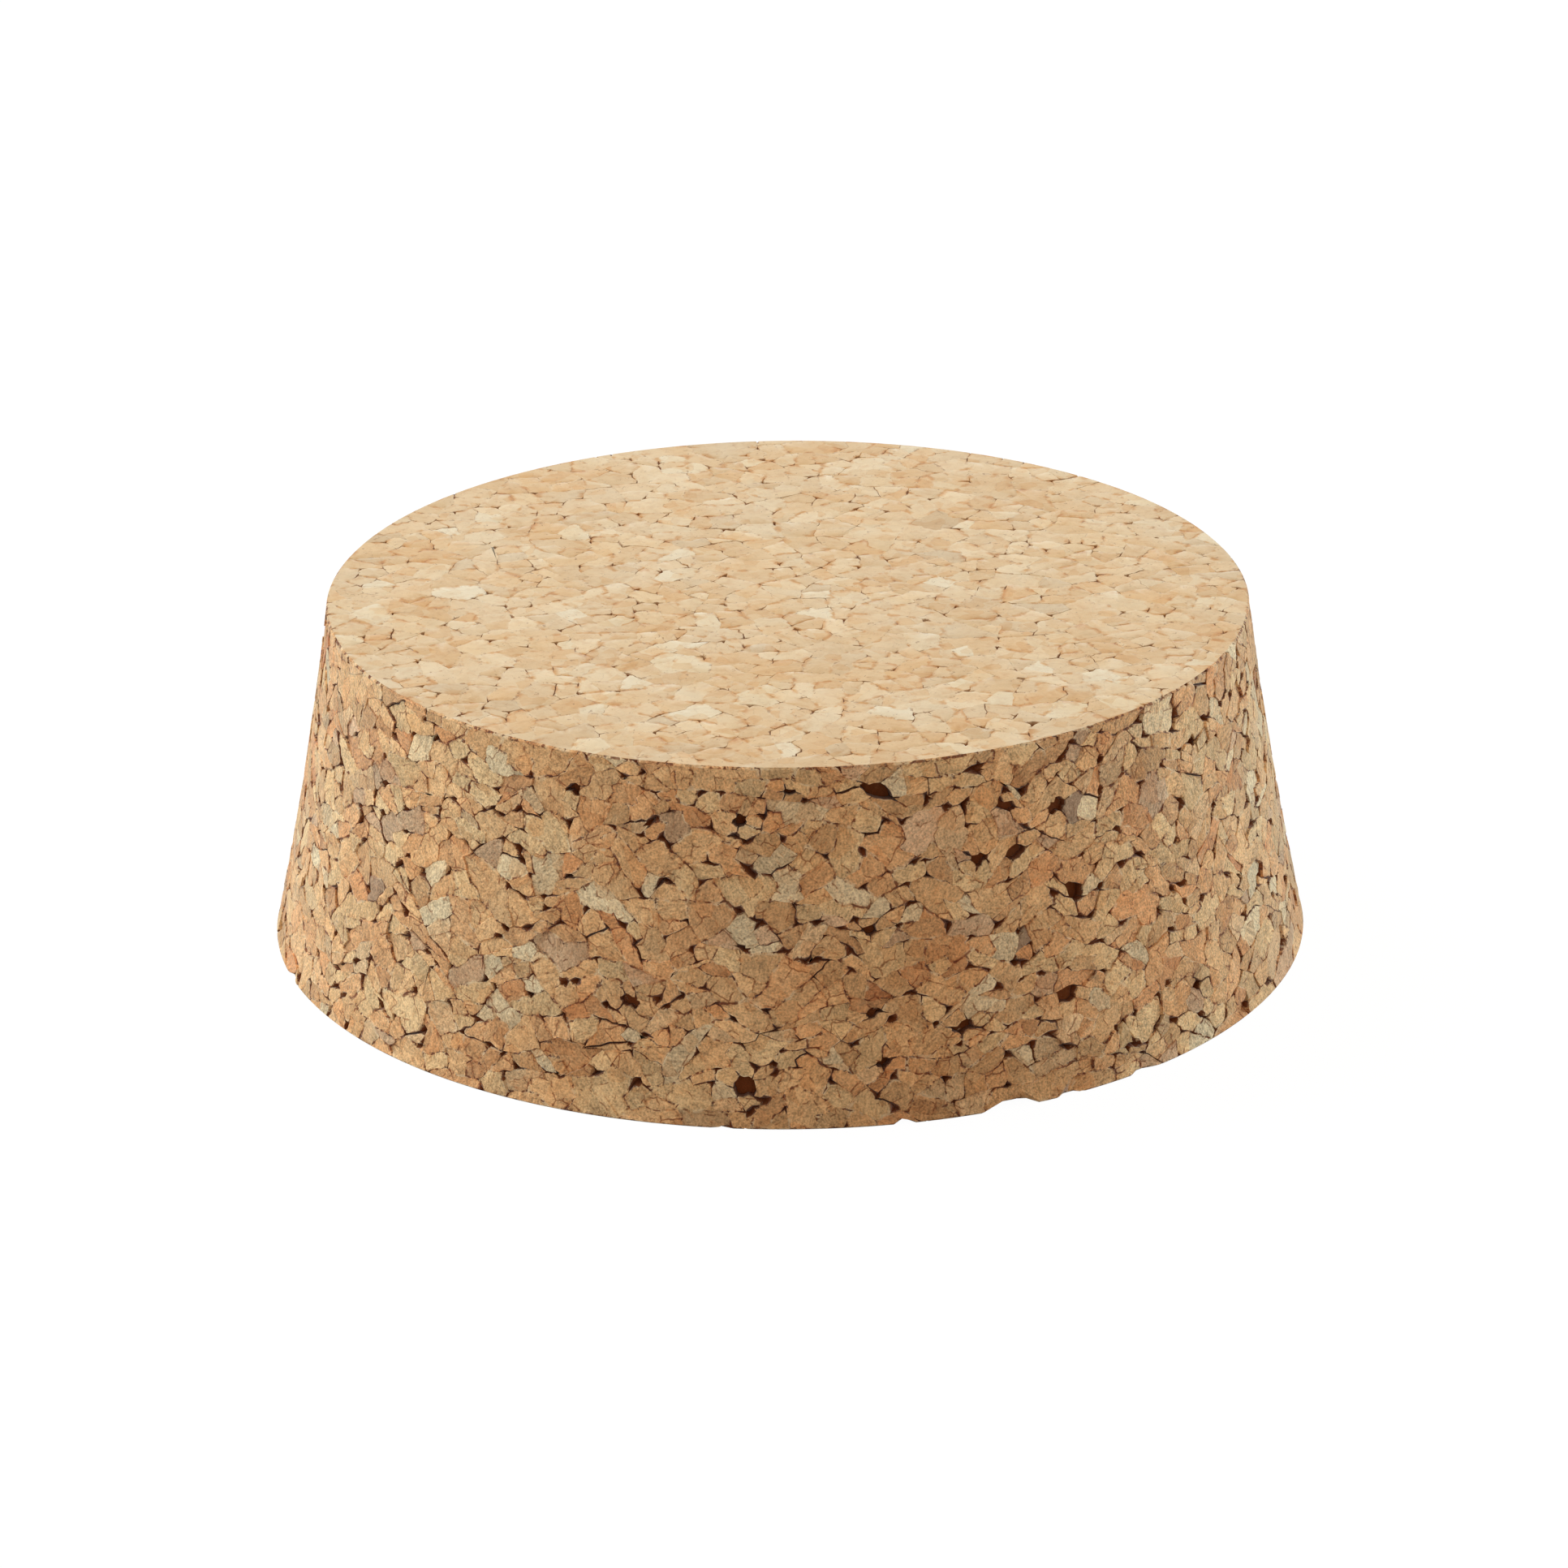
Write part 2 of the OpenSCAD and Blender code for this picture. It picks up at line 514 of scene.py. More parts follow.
def voronoi(face, seeds):
    """Cells round the seeds as loops of corners, with each corner's spot and rim"""
    reach = MIRRORED * face.look["apart"]
    spots = list(seeds)
    owner = list(range(len(seeds)))
    mirrored = [0] * len(seeds)
    for i, seed in enumerate(seeds):
        for spot, rim in face.images(seed, reach)[1:]:
            spots.append(spot)
            owner.append(i)
            mirrored.append(rim)
    found = delaunay_2d_cdt([Vector(p) for p in spots], [], [], 0, MERGED)
    first = [names[0] for names in found[3]]
    number = {}
    corner_spots = []
    corner_rims = []
    around = [[] for _ in seeds]
    for triangle in found[2]:
        ends = [first[v] for v in triangle]
        real = [e for e in ends if e < len(seeds)]
        if not real:
            continue
        (ax, ay), (bx, by), (cx, cy) = (spots[e] for e in ends)
        twice = 2 * (ax * (by - cy) + bx * (cy - ay) + cx * (ay - by))
        a, b, c = ax * ax + ay * ay, bx * bx + by * by, cx * cx + cy * cy
        x = (a * (by - cy) + b * (cy - ay) + c * (ay - by)) / twice
        y = (a * (cx - bx) + b * (ax - cx) + c * (bx - ax)) / twice
        rim = max(mirrored[e] for e in ends)
        key = tuple(sorted({owner[e] for e in ends})), rim
        if key not in number:
            number[key] = len(corner_spots)
            corner_spots.append(face.settle((x, y), rim))
            corner_rims.append(rim)
        for e in real:
            turn = math.atan2(y - seeds[e][1], x - seeds[e][0])
            around[e].append((turn, number[key]))
    cells = []
    for corners in around:
        loop = [n for _, n in sorted(corners)]
        cells.append([n for k, n in enumerate(loop) if n != loop[k - 1]])
    return cells, corner_spots, corner_rims


def undirected(edge):
    return min(edge), max(edge)


class Clumps:
    """Neighbouring cells joined into granules, each with its outline as a loop of corners"""

    def __init__(self, face, cells, spots, draw, alone):
        self.face = face
        self.cells = cells
        self.spots = spots
        self.sharing = {}
        for i, loop in enumerate(cells):
            for edge in edges_of(loop):
                self.sharing.setdefault(undirected(edge), []).append(i)
        self.owner = {}
        order = list(range(len(cells)))
        draw.shuffle(order)
        for start in order:
            if start not in self.owner:
                goal = 1 if start in alone else draw.choices((1, 2, 3, 4), face.look["clumps"])[0]
                self.grow(start, goal, draw, alone)
        groups = {}
        for i in range(len(cells)):
            groups.setdefault(self.owner[i], []).append(i)
        self.granules = []
        for name, members in groups.items():
            loop, whole = self.outline(members)
            if whole:
                self.granules.append((name, loop))
                continue
            for m in members:
                self.owner[m] = m
            self.granules += [(m, self.outline([m])[0]) for m in members]

    def grow(self, start, goal, draw, alone):
        """Joins free neighbours to a cell, sooner across a long edge, while the granule stays compact"""
        members = [start]
        self.owner[start] = start
        while len(members) < goal:
            free = {}
            for m in members:
                for edge in edges_of(self.cells[m]):
                    length = self.face.apart(self.spots[edge[0]], self.spots[edge[1]])
                    for n in self.sharing[undirected(edge)]:
                        if n not in self.owner and n not in alone:
                            free[n] = free.get(n, 0.0) + length
            ranked = sorted(free, key=lambda n: -free[n] * draw.uniform(*RANK_CHANCE))
            joined = [n for n in ranked if self.compact(members + [n])][:1]
            if not joined:
                break
            members += joined
            self.owner[joined[0]] = start

    def compact(self, members):
        """Whether some cells have one outline that is nearly convex"""
        loop, whole = self.outline(members)
        home = self.spots[loop[0]]
        flat = [self.face.beside(self.spots[n], home) for n in loop]
        hull = [flat[k] for k in convex_hull_2d([Vector(p) for p in flat])]
        return whole and area_of(flat) > CONVEX * area_of(hull)

    def outline(self, members):
        """Outer loop of some cells, and whether it is their only one"""
        after = {}
        for m in members:
            for edge in edges_of(self.cells[m]):
                pair = self.sharing[undirected(edge)]
                if len(pair) == 1 or any(n not in members for n in pair):
                    after[edge[0]] = edge[1]
        loop = [next(iter(after))]
        while after[loop[-1]] != loop[0]:
            loop.append(after[loop[-1]])
        return loop, len(loop) == len(after)


class Skin:
    """The mesh in the making: corners, faces and what each carries"""

    def __init__(self):
        self.corners, self.shades = [], []
        self.faces, self.maps, self.tints, self.finishes = [], [], [], []
        self.count = 0

    def add_corners(self, points, shades):
        """Adds points and gives the number of the first"""
        first = self.count
        self.corners.append(points)
        self.shades.append(shades)
        self.count += len(points)
        return first

    def add_face(self, loop, tint, finish):
        """Adds a face from corners with their spots on the map, each corner once"""
        kept = [pair for k, pair in enumerate(loop) if pair[0] != loop[k - 1][0]]
        if len({n for n, _ in kept}) >= 3:
            self.faces.append([n for n, _ in kept])
            self.maps.extend(spot for _, spot in kept)
            self.tints.append(tint)
            self.finishes.append(finish)


class Granules:
    """The granules that cover one face: their outlines, the gaps between them and their facets"""

    def __init__(self, face, pits, draw):
        self.face = face
        self.look = face.look
        self.draw = draw
        lost = [p for p in pits if p[2] > CadStopper.lost]
        self.gaps = [p for p in pits if p[2] <= CadStopper.lost]
        seeds = scatter(face, draw, self.ring_lost(lost))
        cells, self.spots, self.rims = voronoi(face, seeds)
        self.lost = set(range(len(lost)))
        clumps = Clumps(face, cells, self.spots, draw, self.lost)
        self.granules = clumps.granules
        self.gape, self.drop, self.shade = ([0.0] * len(self.spots) for _ in range(3))
        self.find_lines(clumps)
        self.straighten()
        self.choose_contacts()
        self.open_voids()
        self.draw_lines()
        self.lose_granules()

    def ring_lost(self, lost):
        """Seeds and rooms of the lost granules, then of those that ring them"""
        draw = self.draw
        middles = [self.face.unrolled(p[0]) for p in lost]
        fixed = [(m, p[1]) for m, p in zip(middles, lost)]
        for (x, y), width in fixed[:]:
            start = draw.random()
            count = draw.randint(*LOST_RING)
            for k in range(count):
                turn = math.tau * (k + start + draw.uniform(-LOST_TURN, LOST_TURN)) / count
                out = width * draw.uniform(*LOST_OUT)
                spot = (x + out * math.cos(turn), y + out * math.sin(turn))
                if self.face.holds(spot):
                    fixed.append((spot, LOST_ROOM * width))
        return fixed

    def find_lines(self, clumps):
        """Lines between two granules or along a rim, each with the granules beside it"""
        self.lines = []
        self.meets = {}
        self.ends = {}
        for edge, pair in sorted(clumps.sharing.items()):
            names = tuple(sorted({clumps.owner[i] for i in pair}))
            on_rim = len(pair) == 1
            if on_rim or len(names) == 2:
                self.lines.append((edge, names, on_rim))
            if len(names) == 2:
                for n, m in (edge, edge[::-1]):
                    self.meets.setdefault(n, []).append(names)
                    self.ends.setdefault(n, []).append(m)

    def straighten(self):
        """Draws a junction towards a straight run of two lines, so that the third ends in sharp corners"""
        draw = self.draw
        ragged = {n for name, loop in self.granules if name in self.lost for n in loop}
        for n in sorted(self.meets):
            if self.rims[n] or n in ragged or len(self.ends[n]) != 3 or draw.random() > STRAIGHT:
                continue
            here = Vector(self.spots[n])
            arms = [Vector(self.face.beside(self.spots[m], here)) - here for m in self.ends[n]]
            if min(arm.length for arm in arms) < self.look["step"] / 2:
                continue
            first, last = max(combinations(arms, 2), key=lambda pair: pair[0].angle(pair[1]))
            run = last - first
            nearest, farthest = STRAIGHT_FOOT
            foot = first + run * min(farthest, max(nearest, -first.dot(run) / run.length_squared))
            self.spots[n] = tuple(here + foot * draw.uniform(*STRAIGHT_REACH))

    def choose_contacts(self):
        """Each contact between two granules is closed, a hairline or an open slit"""
        look = self.look
        self.contacts = {}
        for _, names, on_rim in self.lines:
            if on_rim or names in self.contacts:
                continue
            chance = self.draw.random()
            kind = "closed" if chance < look["closed"] else "slit" if chance > 1 - look["slit"] else "hair"
            self.contacts[names] = self.draw_gap(kind)
        for n, meets in self.meets.items():
            wide, deep, dark = (max(values) for values in zip(*(self.contacts[m] for m in meets)))
            self.set_gap(n, wide, deep, dark * self.draw.uniform(*FADED))
            if self.rims[n] and self.draw.random() < look["notch"]:
                self.set_gap(n, *self.draw_gap("notch"), self.draw.uniform(*NOTCH_SHADE))

    def draw_gap(self, kind, skew=1):
        """Gape and drop of a kind of gap, and the shade of a contact"""
        share = self.draw.random() ** skew
        return [low + (high - low) * share for low, high in self.look[kind + "_gap"]]

    def set_gap(self, n, wide, deep, dark):
        self.gape[n] = wide
        self.drop[n] = deep
        self.shade[n] = dark

    def open_voids(self):
        """Voids where three granules never quite met, among them the gaps of the CAD stopper"""
        # Voids and the CAD stopper's gaps take the full gap shade: the cork's dark inside, and painted
        # shade down in them
        junctions = [n for n in sorted(self.meets) if len(self.meets[n]) == 3]
        self.voids = set()
        for n in junctions:
            place = Vector((*self.spots[n], 0.0)) / GATHER
            if self.draw.random() < self.look["void"] * (1 + GATHERED * noise.noise(place)):
                self.set_gap(n, *self.draw_gap("void", VOID_SKEW), 1.0)
                self.voids.add(n)
        for middle, width, depth, _ in self.gaps:
            spot = self.face.settle(self.face.unrolled(middle), 0)
            n = min(junctions, key=lambda j: self.face.apart(self.spots[j], spot))
            self.set_gap(n, GAP_GAPE * width, GAP_DROP * depth, 1.0)
            self.voids.add(n)

    def draw_lines(self):
        """Points along each line, which wander between its ends and gape near a void"""
        draw = self.draw
        self.along = {}
        for (a, b), names, on_rim in self.lines:
            start = self.spots[a]
            end = self.face.beside(self.spots[b], start)
            dx, dy = way(start, end)
            length = max(TINY, math.hypot(dx, dy))
            dx, dy = dx / length, dy / length
            count = min(MOST_POINTS, max(0, round(length / self.look["step"]) - 1))
            wander = 0.0 if on_rim else WANDER * length / (count + 1)
            if self.lost.intersection(names) and not on_rim:
                count = RAGGED
                wander = RAGGED_WANDER * length
            arms = draw.choice(ARMS), draw.choice(ARMS)
            made = []
            for k in range(count):
                share = (k + 1) / (count + 1)
                aside = wander * draw.uniform(-1, 1)
                spot = (start[0] + dx * length * share - dy * aside,
                        start[1] + dy * length * share + dx * aside)
                made.append(len(self.spots))
                self.spots.append(self.face.on_rim(spot) if on_rim else spot)
                self.rims.append(max(self.rims[a], self.rims[b]) if on_rim else 0)
                gap = (0, 0, 0) if on_rim else self.gap_along(a, b, names, share, length, arms)
                for values, value in zip((self.gape, self.drop, self.shade), gap):
                    values.append(value)
            self.along[a, b] = made
            self.along[b, a] = made[::-1]

    def gap_along(self, a, b, names, share, length, arms):
        """Gape, drop and shade of a point part of the way along a line"""
        wide, deep, dark = self.contacts[names]
        slit_shade = self.look["slit_gap"][2]
        if dark < slit_shade[0] and self.draw.random() < CLOSED_UP:
            wide, deep, dark = self.draw_gap("closed")
        wide *= self.draw.uniform(*UNEVEN)
        dark *= self.draw.uniform(*FADED)
        for n, away, arm in ((a, share * length, arms[0]), (b, (1 - share) * length, arms[1])):
            if n in self.voids:
                left = max(0.0, 1 - away / (ARM_REACH + ARM_GAPE * self.gape[n])) * arm
                wide = max(wide, self.gape[n] * left)
                deep = max(deep, self.drop[n] * min(1.0, ARM_DROP * left))
                # Near a void the line darkens with painted shade
                dark = max(dark, min(1.0, ARM_SHADE * left * left))
        return wide, deep, dark

    def lose_granules(self):
        """A lost granule takes the ground from under the lines round it"""
        for name, loop in self.granules:
            if name in self.lost:
                for n in self.ring(loop):
                    if not self.rims[n]:
                        wide = min(self.gape[n], LOST_EDGE)
                        # The lines round a lost granule are darkened with painted shade down its pit
                        self.set_gap(n, wide, LOST_EDGE, max(self.shade[n], LOST_EDGE_SHADE))

    def ring(self, loop):
        """All points round a granule"""
        ring = []
        for a, b in edges_of(loop):
            ring += [a, *self.along[a, b]]
        return ring

    def facet_spot(self, ring, flat, k, size):
        """Where the facet's corner lies inside the k-th point of the ring, and its rim"""
        n = ring[k]
        m = (k + 1) % len(ring)
        before, here, after = flat[k - 1], flat[k], flat[m]
        wide = min(self.gape[n], WIDEST * size)
        if n in self.voids:
            wide *= self.draw.uniform(*VOID_UNEVEN)
        rim_before = self.rims[n] and self.rims[ring[k - 1]]
        rim_after = self.rims[n] and self.rims[ring[m]]
        if rim_before and rim_after:
            return None, self.rims[n]
        if rim_before or rim_after:
            to = before if rim_before else after
            dx, dy = way(here, to)
            reach = max(TINY, math.hypot(dx, dy))
            step = min(wide, RIM_WIDEST * reach) / reach
            return self.face.on_rim((here[0] + dx * step, here[1] + dy * step)), self.rims[n]
        ux, uy = way(before, here)
        vx, vy = way(here, after)
        ul, vl = max(TINY, math.hypot(ux, uy)), max(TINY, math.hypot(vx, vy))
        nx, ny = -uy / ul - vy / vl, ux / ul + vx / vl
        step = wide * 2 / max(nx * nx + ny * ny, MITRE)
        return (here[0] + nx * step, here[1] + ny * step), 0

    def hub_spot(self, middle, loop):
        """A spot inside a loop that sees all of it, if one of those tried does"""
        tries = [middle]
        for reach in HUB_TRIES:
            tries += [tuple(middle[i] + reach * (p[i] - middle[i]) for i in (0, 1)) for p in loop]
        for spot in tries:
            if all(turns_left(p, q, spot) for p, q in edges_of(loop)):
                return spot
        return None

    def draw_tint(self):
        """A granule's own colour"""
        tints = self.look["tints"]
        colour, _ = self.draw.choices(tints, [share for _, share in tints])[0]
        tint = plain(colour)
        level = min(self.draw.uniform(*self.look["levels"]), BRIGHTEST / max(tint))
        return tuple(c * level for c in tint)

    def add_point(self, spot, up, dark, rim):
        """Adds a corner inside a granule and gives its number"""
        self.spots.append(spot)
        self.rise.append(up)
        self.shade.append(dark)
        self.rims.append(rim)
        return len(self.spots) - 1

    def build_granule(self, name, ring):
        """One granule: its sides, which run down into the gaps round it, and its facet"""
        draw, look = self.draw, self.look
        home = self.spots[ring[0]]
        flat = [self.face.beside(self.spots[n], home) for n in ring]
        size = math.sqrt(area_of(flat))
        middle = [sum(p[i] for p in flat) / len(flat) for i in (0, 1)]
        tint = self.draw_tint()
        floor = 0.0
        sunk = draw.uniform(0, look["sunk"])
        if name in self.lost:
            sunk = draw.uniform(*LOST_FLOOR)
            # A lost granule's floor is darkened with painted shade down in its pit
            floor = draw.uniform(*LOST_SHADE)
        lean = draw.gauss(0, look["tilt"]), draw.gauss(0, look["tilt"])

        def lift(spot):
            return sum((spot[i] - middle[i]) * lean[i] for i in (0, 1))

        inset = [self.facet_spot(ring, flat, k, size) for k in range(len(ring))]
        facet_spots = [spot or flat[k] for k, (spot, _) in enumerate(inset)]
        sunk += max(lift(spot) for spot in facet_spots)
        facet = []
        for n, at, (spot, rim) in zip(ring, facet_spots, inset):
            up = 0.0 if rim else lift(at) - sunk
            self.rise[n] = min(self.rise[n], up)
            facet.append(n if spot is None else self.add_point(spot, up, floor, rim))
            if rim:
                self.rim_tints[facet[-1]] = tint
        maps = self.fibre_map(middle)
        sides = [(n, maps(p)) for n, p in zip(ring, flat)]
        edges = [(n, maps(p)) for n, p in zip(facet, facet_spots)]
        hub_spot = self.hub_spot(middle, facet_spots)
        if hub_spot:
            hub = self.add_point(hub_spot, lift(hub_spot) - sunk, floor or INNER, 0), maps(hub_spot)
        else:
            self.faces.append((edges, tint))
            for n in facet:
                if floor:
                    self.shade[n] = floor
                elif self.shade[n] <= 0:
                    self.shade[n] = CROOKED
        for (a, b), (c, d) in zip(edges_of(sides), edges_of(edges)):
            self.faces.append(([a, b, d, c], tint))
            if hub_spot:
                self.faces.append(([c, d, hub], tint))

    def build(self, skin):
        """Adds the granules to the skin and gives the loops of corners along the rims"""
        self.rise = [0.0] * len(self.spots)
        self.rim_tints = {}
        self.faces = []
        for name, loop in self.granules:
            self.build_granule(name, self.ring(loop))
        for n, drop in enumerate(self.drop):
            self.rise[n] -= drop
        placed = self.face.place(np.array(self.spots), np.array(self.rise))
        first = skin.add_corners(placed, np.array(self.shade))
        for loop, tint in self.faces:
            skin.add_face([(first + n, spot) for n, spot in loop], tint, self.look["finish"])
        return self.rim_loops(placed, first)

    def rim_loops(self, placed, first):
        """The corners along each rim in their order round it, each with its turn and tint"""
        loops = {}
        for n in sorted({n for loop, _ in self.faces for n, _ in loop}):
            if self.rims[n]:
                turn = math.atan2(placed[n][1], placed[n][0]) % math.tau
                tint = self.rim_tints.get(n, plain(self.look["tints"][0][0]))
                loops.setdefault(self.rims[n], []).append((turn, first + n, tint))
        return {rim: sorted(loop) for rim, loop in loops.items()}

    def fibre_map(self, middle):
        """Puts a granule's own grain direction under its points"""
        grain = self.draw.uniform(0, math.pi)
        along, across = math.cos(grain), math.sin(grain)
        drift = self.draw.uniform(0, FIBRES_APART), self.draw.uniform(0, FIBRES_APART)

        def mapped(spot):
            x, y = way(middle, spot)
            return x * along + y * across + drift[0], y * along - x * across + drift[1]

        return mapped


def bridge(skin, lower, upper, finish):
    """Closes the rubbed rim between two loops of corners that run round the stopper"""

    def at(loop, k):
        return loop[k % len(loop)][0] + math.tau * (k // len(loop))

    i = j = 0
    while i + j < len(lower) + len(upper):
        a, b = lower[i % len(lower)], upper[j % len(upper)]
        if j == len(upper) or (i < len(lower) and at(lower, i + 1) <= at(upper, j + 1)):
            i += 1
            c = lower[i % len(lower)]
        else:
            j += 1
            c = upper[j % len(upper)]
        x = RIM_FIBRES * a[0]
        patch = [(a[1], (x, 0.0)), (c[1], (x + RIM_PATCH[0], 0.0)), (b[1], (x, RIM_PATCH[1]))]
        skin.add_face(patch, a[2], finish)


def chip_rim(points, shades, chips):
    """Draws the wide rim in and up where the CAD rim is chipped"""
    radii, turns = polar(points)
    low = np.clip(1 - points[:, 2] / CHIP_HIGH, 0, 1)
    near = np.clip((radii - radii.max() + CHIP_FAR) / CHIP_FAR, 0, 1)
    for start, end, depth in chips:
        half = max(CHIP_LEAST, (end - start) / 2)
        off = np.abs(turns - (start + end) / 2)
        fall = eased(np.clip(2 - off / half, 0, 1)) * low * near
        points[:, :2] *= (1 - CHIP_IN * depth * fall / np.maximum(radii, 1))[:, None]
        points[:, 2] += CHIP_UP * depth * fall
        shades[:] = np.where(shades > CHIP_SHADED, np.maximum(shades, CHIP_SHADE * fall), shades)
    return points


def put(name, data):
    """An object made of some data, put in the scene"""
    made = bpy.data.objects.new(name, data)
    scene.collection.objects.link(made)
    return made


def make_stopper():
    """The stopper's whole surface as one closed mesh"""
    cad = CadStopper(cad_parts["stopper"])
    draw = random.Random(SEED)
    skin = Skin()
    beside = [p for p in cad.pits if abs(p[3]) < FACING]
    above = [p for p in cad.pits if p[3] >= FACING]
    below = [p for p in cad.pits if p[3] <= -FACING]
    wall = Granules(Wall(cad, WALL_LOOK), beside, draw).build(skin)
    top = Granules(End(cad, TOP_LOOK, True), above, draw).build(skin)
    base = Granules(End(cad, BASE_LOOK, False), below, draw).build(skin)
    bridge(skin, wall[2], top[1], 0)
    bridge(skin, base[1], wall[1], 0)
    shades = np.concatenate(skin.shades)
    points = chip_rim(np.concatenate(skin.corners), shades, cad.chips)
    points[:, 2] = np.clip(points[:, 2], cad.z[0], cad.z[-1])
    mesh = bpy.data.meshes.new("cork_stopper")
    mesh.from_pydata((points * MM).tolist(), [], skin.faces)
    shade = mesh.attributes.new(SHADE, "FLOAT", "POINT")
    shade.data.foreach_set("value", shades.astype(np.float32))
    tint = mesh.attributes.new(TINT, "FLOAT_VECTOR", "FACE")
    tint.data.foreach_set("vector", np.array(skin.tints, np.float32).ravel())
    fibres = mesh.uv_layers.new(name=FIBRES)
    fibres.data.foreach_set("uv", np.array(skin.maps, np.float32).ravel())
    mesh.polygons.foreach_set("material_index", skin.finishes)
    return put("cork_stopper", mesh)


class Shade:
    """A socket in a material: sums and products of shades add Math nodes"""

    def __init__(self, tree, socket=None):
        self.tree = tree
        self.socket = socket

    def node(self, kind, settings=None, inputs=None, output=0):
        """Adds a node of a type with its settings, then the values or links of its sockets"""
        made = self.tree.nodes.new(kind)
        for name, value in (settings or {}).items():
            setattr(made, name, value)
        for name, value in (inputs or {}).items():
            if isinstance(value, Shade):
                self.tree.links.new(value.socket, made.inputs[name])
            else:
                made.inputs[name].default_value = value
        return Shade(self.tree, made.outputs[output])

    def math(self, operation, *values):
        return self.node("ShaderNodeMath", {"operation": operation}, dict(enumerate(values)))

    def __add__(self, other):
        return self.math("ADD", self, other)

    __radd__ = __add__

    def __sub__(self, other):
        return self.math("SUBTRACT", self, other)

    def __rsub__(self, other):
        return self.math("SUBTRACT", other, self)

    def __mul__(self, other):
        return self.math("MULTIPLY", self, other)

    def ramp(self, low, high):
        """0 below low, 1 above high, smooth between"""
        return self.node("ShaderNodeMapRange", {"interpolation_type": "SMOOTHSTEP"},
                         {"Value": self, "From Min": low, "From Max": high})

    def noise(self, size, detail=3.0, roughness=0.55, warp=0.0):
        """Noise at this place, about 0, with features of a size"""
        return self.node("ShaderNodeTexNoise", None,
                         {"Vector": self, "Scale": 1 / size, "Detail": detail,
                          "Roughness": roughness, "Distortion": warp}, output="Fac") - 0.5

    def warped(self, size, reach):
        """This place pushed about by noise with features of a size"""
        push = self.node("ShaderNodeTexNoise", None,
                         {"Vector": self, "Scale": 1 / size, "Detail": 2.0}, output="Color")
        return self.node("ShaderNodeVectorMath", {"operation": "MULTIPLY_ADD"},
                         {0: push, 1: (reach, reach, reach), 2: self})

    def shards(self, size, feature, output):
        """Angular cells of a size at this place: a random colour each, or how far their edge is"""
        return self.node("ShaderNodeTexVoronoi", {"voronoi_dimensions": "2D", "feature": feature},
                         {"Vector": self, "Scale": 1 / size}, output=output)

    def channel(self, name):
        """Red, Green or Blue of this colour"""
        return self.node("ShaderNodeSeparateColor", None, {"Color": self}, output=name)

    def mixed(self, blend, share, other):
        """This colour mixed with another"""
        if not isinstance(other, Shade):
            other = (*other, 1.0)
        return self.node("ShaderNodeMix", {"data_type": "RGBA", "blend_type": blend},
                         {0: share, 6: self, 7: other}, output=2)


# How far the grain is drawn out along the fibres
GRAIN_STRETCH = 4
# Strength, width and colour of each layer of the cork's colour: what both share, the wall and the ends.
# The pale band along some granule edges is a painted highlight, the orange band along others partly
# painted shade, and the gap colour in the gaps and in small bites along edges partly painted shade
BOTH = dict(
    patch_tint=(228, 196, 160), pale_tint=(236, 208, 166), crack_tint=(150, 96, 54),
    rust_tint=(186, 112, 64), stain_tint=(176, 168, 162), speck_tint=(146, 94, 52))
GROUND = dict(
    BOTH, mottle=0.35, blotch=0.12, grain=1.35, fine=1.7, bump=0.12,
    drift=0.3, drift_tint=(236, 202, 164),
    patch=0.25, pale=0.125, patch_wide=0.8,
    shard=0.22, shard_wide=1.2, crack=0.7,
    fleck=0.3, fleck_tint=(230, 188, 144),
    line=0.85, line_wide=0.1, line_tint=(140, 82, 40),
    fringe_and_shade=0.4, fringe_and_shade_wide=0.3, fringe_and_shade_tint=(206, 154, 104),
    edge_highlight=0.5, edge_highlight_wide=0.16, edge_highlight_tint=(248, 226, 188),
    streak=0.6, streak_tint=(200, 148, 100),
    rust=0.17, stain=0.45, speck=0.5, bite_shade=0.9, gap=(122, 60, 14))
SLICED = dict(
    BOTH, mottle=0.12, blotch=0.1, grain=0.14, fine=0.06, bump=0.02,
    drift=0.45, drift_tint=(246, 224, 186),
    patch=0.28, pale=0.14, patch_wide=0.7,
    shard=0.04, shard_wide=0.9, crack=0.12,
    fleck=0.3, fleck_tint=(240, 204, 142),
    line=0.22, line_wide=0.08, line_tint=(180, 124, 64),
    fringe_and_shade=0.7, fringe_and_shade_wide=0.35, fringe_and_shade_tint=(232, 188, 124),
    edge_highlight=0.2, edge_highlight_wide=0.25, edge_highlight_tint=(246, 232, 204),
    streak=0.14, streak_tint=(230, 190, 118),
    rust=0.1, stain=0.06, speck=0.5, bite_shade=0.5, gap=(140, 84, 34))


def new_material(name, values):
    """A material with some values of its shader set, the shader, and a start for more nodes"""
    material = bpy.data.materials.new(name)
    material.use_nodes = True
    shader = material.node_tree.nodes["Principled BSDF"]
    for socket, value in values.items():
        shader.inputs[socket].default_value = value
    return material, shader, Shade(material.node_tree)


